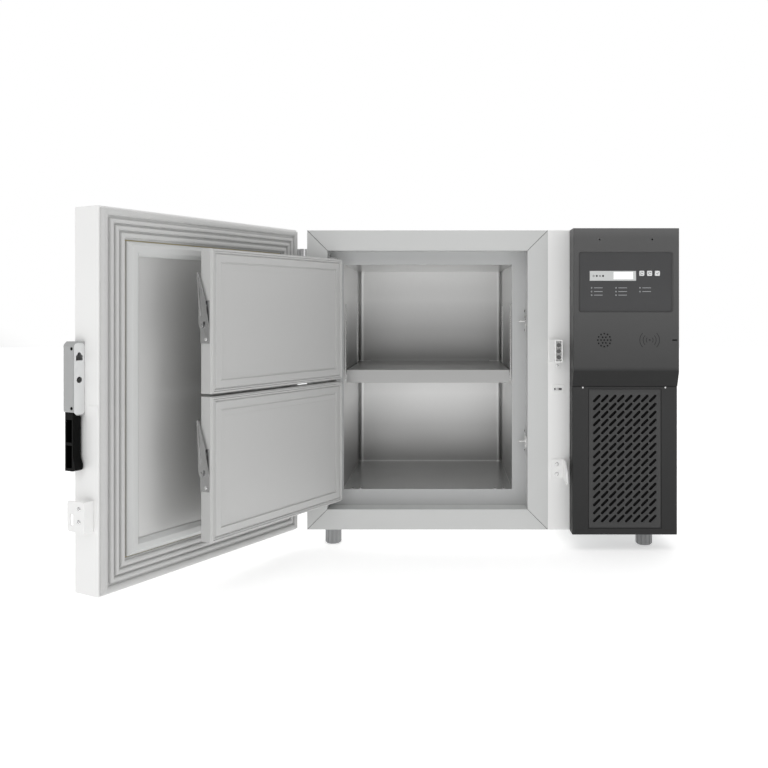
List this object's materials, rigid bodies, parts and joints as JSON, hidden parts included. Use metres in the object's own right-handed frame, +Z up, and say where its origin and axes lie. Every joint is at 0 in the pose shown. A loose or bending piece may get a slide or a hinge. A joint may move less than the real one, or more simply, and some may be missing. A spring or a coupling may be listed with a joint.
{
  "type": "ultra low temperature freezer",
  "caption": "Undercounter ultra low temperature freezer with an insulated door, two inner doors, a shelf and a side machine bay.",
  "frame": {"origin": "on the floor, under the middle of the freezer's footprint as it stands with its doors open", "axes": "+X to the right seen from the front, +Y to the back, +Z up"},
  "size_m": [1.358, 1.1624, 0.825],
  "materials": {
    "painted_case": "satin",
    "galvanised": "satin",
    "foam": "matte",
    "stainless": "brushed",
    "grey_plastic": "matte",
    "copper": "satin",
    "bare_steel": "satin",
    "chrome": "polished",
    "charcoal": "matte",
    "overlay": "gloss",
    "screen": "gloss",
    "keys": "satin",
    "black_steel": "satin",
    "board": "satin",
    "fins": "satin",
    "fan_plastic": "matte",
    "rubber": "matte",
    "black_plastic": "satin",
    "filter": "matte",
    "foot_plastic": "matte",
    "gasket": "matte",
    "cast_grey": "satin"
  },
  "bodies": {
    "cabinet": {"cabinet_shell": "painted_case", "machine_cover": "painted_case", "rear_cover": "painted_case", "base_pan": "galvanised", "insulation_foam": "foam", "inner_liner": "stainless", "recess_frame": "grey_plastic", "breaker_rails": "grey_plastic", "evaporator_coil": "copper", "shelf": "stainless", "shelf_supports": "stainless", "door_striker": "bare_steel", "switch_plate": "bare_steel", "cabinet_hasp": "bare_steel", "inner_strikes": "bare_steel", "main_hinges": "chrome", "inner_hinges": "bare_steel", "control_housing": "charcoal", "lower_fascia": "charcoal", "display_panel": "overlay", "display_screen": "screen", "speaker": "black_steel", "control_board": "board", "condenser": "fins", "fan_shroud": "black_steel", "compressors": "black_steel", "compressor_mounts": "rubber", "heat_exchanger": "black_steel", "refrigerant_pipes": "copper", "power_inlet": "black_plastic"},
    "main_door": {"door_shell": "painted_case", "door_foam": "foam", "door_gasket": "gasket", "door_plug_frame": "grey_plastic", "door_inner_panel": "stainless", "door_hinge_leaves": "chrome", "handle_housing": "cast_grey", "door_hasp": "bare_steel", "door_switch_pad": "bare_steel"},
    "door_lever": {"handle_lever": "black_plastic"},
    "lower_inner": {"lower_inner_door": "stainless", "lower_inner_foam": "foam", "lower_inner_gasket": "gasket", "lower_inner_latch_plate": "bare_steel"},
    "upper_inner": {"upper_inner_door": "stainless", "upper_inner_foam": "foam", "upper_inner_gasket": "gasket", "upper_inner_latch_plate": "bare_steel"},
    "lower_latch": {"lower_inner_latch_lever": "bare_steel"},
    "upper_latch": {"upper_inner_latch_lever": "bare_steel"},
    "left_key": {"key_left": "keys"},
    "middle_key": {"key_middle": "keys"},
    "right_key": {"key_right": "keys"},
    "fan": {"fan_blade": "fan_plastic"},
    "grille": {"intake_grille": "charcoal", "air_filter": "filter"},
    "front_left_foot": {"foot_front_left": "foot_plastic"},
    "front_right_foot": {"foot_front_right": "foot_plastic"},
    "rear_left_foot": {"foot_rear_left": "foot_plastic"},
    "rear_right_foot": {"foot_rear_right": "foot_plastic"}
  },
  "joints": [
    {"name": "main_door_hinge", "type": "hinge", "parent": "cabinet", "child": "main_door", "pos_m": [-0.2868, -0.01035, 0.043], "axis": [0, 0, -1], "range_deg": [-118.8, 3]},
    {"name": "upper_inner_door_hinge", "type": "hinge", "parent": "cabinet", "child": "upper_inner", "pos_m": [-0.2073, 0.00915, 0.437], "axis": [0, 0, -1], "range_deg": [-118.8, 3]},
    {"name": "lower_inner_door_hinge", "type": "hinge", "parent": "cabinet", "child": "lower_inner", "pos_m": [-0.2073, 0.00915, 0.119], "axis": [0, 0, -1], "range_deg": [-118.8, 3]},
    {"name": "handle_lever_pivot", "type": "hinge", "parent": "main_door", "child": "door_lever", "pos_m": [-0.65884, -0.54905, 0.439], "axis": [0.4818, 0.8763, 0], "range_deg": [0, 60]},
    {"name": "lower_latch_pivot", "type": "hinge", "parent": "lower_inner", "child": "lower_latch", "pos_m": [-0.4374, -0.42123, 0.266], "axis": [-0.4818, -0.8763, 0], "range_deg": [0, 28]},
    {"name": "upper_latch_pivot", "type": "hinge", "parent": "upper_inner", "child": "upper_latch", "pos_m": [-0.4374, -0.42123, 0.584], "axis": [-0.4818, -0.8763, 0], "range_deg": [0, 28]},
    {"name": "left_key_press", "type": "slide", "parent": "cabinet", "child": "left_key", "axis": [0, 1, 0], "range_m": [0, 0.0008], "stiffness_N_per_m": 500, "springref_m": -0.0006},
    {"name": "middle_key_press", "type": "slide", "parent": "cabinet", "child": "middle_key", "axis": [0, 1, 0], "range_m": [0, 0.0008], "stiffness_N_per_m": 500, "springref_m": -0.0006},
    {"name": "right_key_press", "type": "slide", "parent": "cabinet", "child": "right_key", "axis": [0, 1, 0], "range_m": [0, 0.0008], "stiffness_N_per_m": 500, "springref_m": -0.0006},
    {"name": "fan_spin", "type": "hinge", "parent": "cabinet", "child": "fan", "pos_m": [0.54535, 0.07165, 0.233], "axis": [0, 1, 0], "continuous": true},
    {"name": "grille_pull", "type": "slide", "parent": "cabinet", "child": "grille", "axis": [0, -1, 0], "range_m": [0, 0.025]},
    {"name": "front_left_foot_level", "type": "slide", "parent": "cabinet", "child": "front_left_foot", "axis": [0, 0, -1], "range_m": [0, 0.012]},
    {"name": "front_right_foot_level", "type": "slide", "parent": "cabinet", "child": "front_right_foot", "axis": [0, 0, -1], "range_m": [0, 0.012]},
    {"name": "rear_left_foot_level", "type": "slide", "parent": "cabinet", "child": "rear_left_foot", "axis": [0, 0, -1], "range_m": [0, 0.012]},
    {"name": "rear_right_foot_level", "type": "slide", "parent": "cabinet", "child": "rear_right_foot", "axis": [0, 0, -1], "range_m": [0, 0.012]}
  ],
  "couplings": [
    {"joint": "upper_inner_door_hinge", "follows": "main_door_hinge", "ratio": 1},
    {"joint": "lower_inner_door_hinge", "follows": "main_door_hinge", "ratio": 1}
  ]
}
